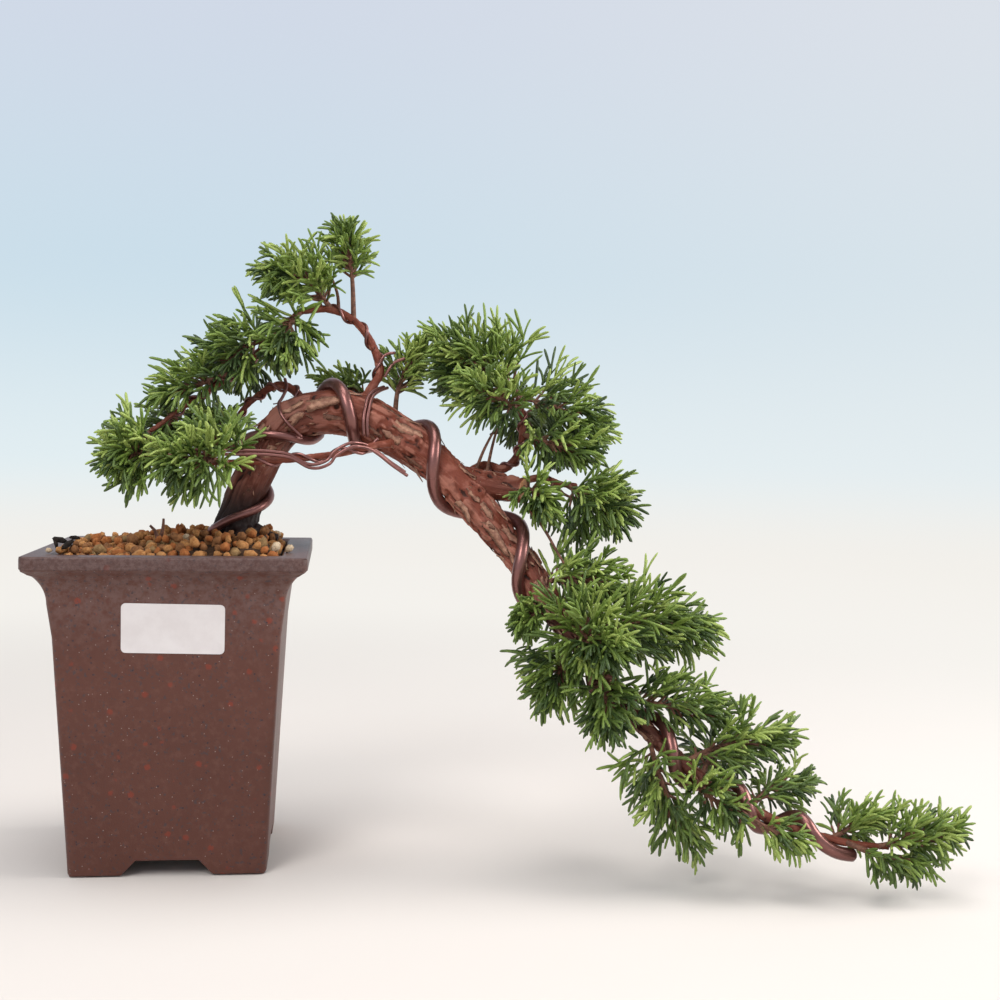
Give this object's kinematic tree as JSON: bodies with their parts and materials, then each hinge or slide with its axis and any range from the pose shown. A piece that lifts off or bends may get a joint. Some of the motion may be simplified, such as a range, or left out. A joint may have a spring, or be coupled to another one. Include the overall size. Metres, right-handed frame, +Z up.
{
  "type": "juniper bonsai in a square pot",
  "caption": "Small cascade juniper bonsai with an arched, wired trunk and open pads of scale foliage, in a tall square clay pot with notched feet.",
  "frame": {"origin": "middle of the standing face of the pot's front left foot, with the pot's middle 32.75 mm to the right of it and 32.75 mm behind it", "axes": "+X runs right along the pot's front face, the way the cascade hangs, +Y runs from the front to the back, +Z is up"},
  "size_m": [0.3707, 0.1561, 0.2745],
  "materials": {
    "pot": "satin brown-purple stoneware with fine red, blue-grey and white speckles",
    "soil": "matte ochre and rust baked clay grains",
    "bark": "rough flaking red-brown bark",
    "wire": "copper-brown anodised, satin",
    "foliage": "matte green scale leaves with lighter tips"
  },
  "bodies": {
    "root": {"arch_bough": "bark", "base_wire": "wire", "cascade_middle": "bark", "cascade_tip": "bark", "cascade_upper": "bark", "crown_bough_fall": "bark", "crown_bough_rise": "bark", "foliage_arch_left": "foliage", "foliage_arch_right": "foliage", "foliage_arch_tuft": "foliage", "foliage_cascade_back": "foliage", "foliage_cascade_front": "foliage", "foliage_cascade_inner": "foliage", "foliage_cascade_left": "foliage", "foliage_cascade_right": "foliage", "foliage_cascade_top": "foliage", "foliage_cascade_under": "foliage", "foliage_crown_back": "foliage", "foliage_crown_crest": "foliage", "foliage_crown_inner": "foliage", "foliage_crown_left": "foliage", "foliage_crown_middle": "foliage", "foliage_crown_top": "foliage", "foliage_fall_back": "foliage", "foliage_fall_front": "foliage", "foliage_fall_hanging": "foliage", "foliage_fall_right": "foliage", "foliage_fall_side": "foliage", "foliage_far_left": "foliage", "foliage_far_left_back": "foliage", "foliage_low_front": "foliage", "foliage_low_over": "foliage", "foliage_low_right": "foliage", "foliage_low_tip": "foliage", "foliage_low_upper": "foliage", "foliage_right_back": "foliage", "foliage_right_far": "foliage", "foliage_right_front": "foliage", "foliage_right_low": "foliage", "foliage_right_side": "foliage", "foliage_right_top": "foliage", "foliage_stub_front": "foliage", "foliage_tip": "foliage", "foliage_tip_under": "foliage", "foliage_tip_upper": "foliage", "low_bough": "bark", "pot": "pot", "right_bough": "bark", "shoulder_bough": "bark", "soil": "soil", "trunk_lower": "bark", "trunk_stub": "bark", "trunk_upper": "bark", "trunk_wire": "wire"}
  },
  "joints": []
}
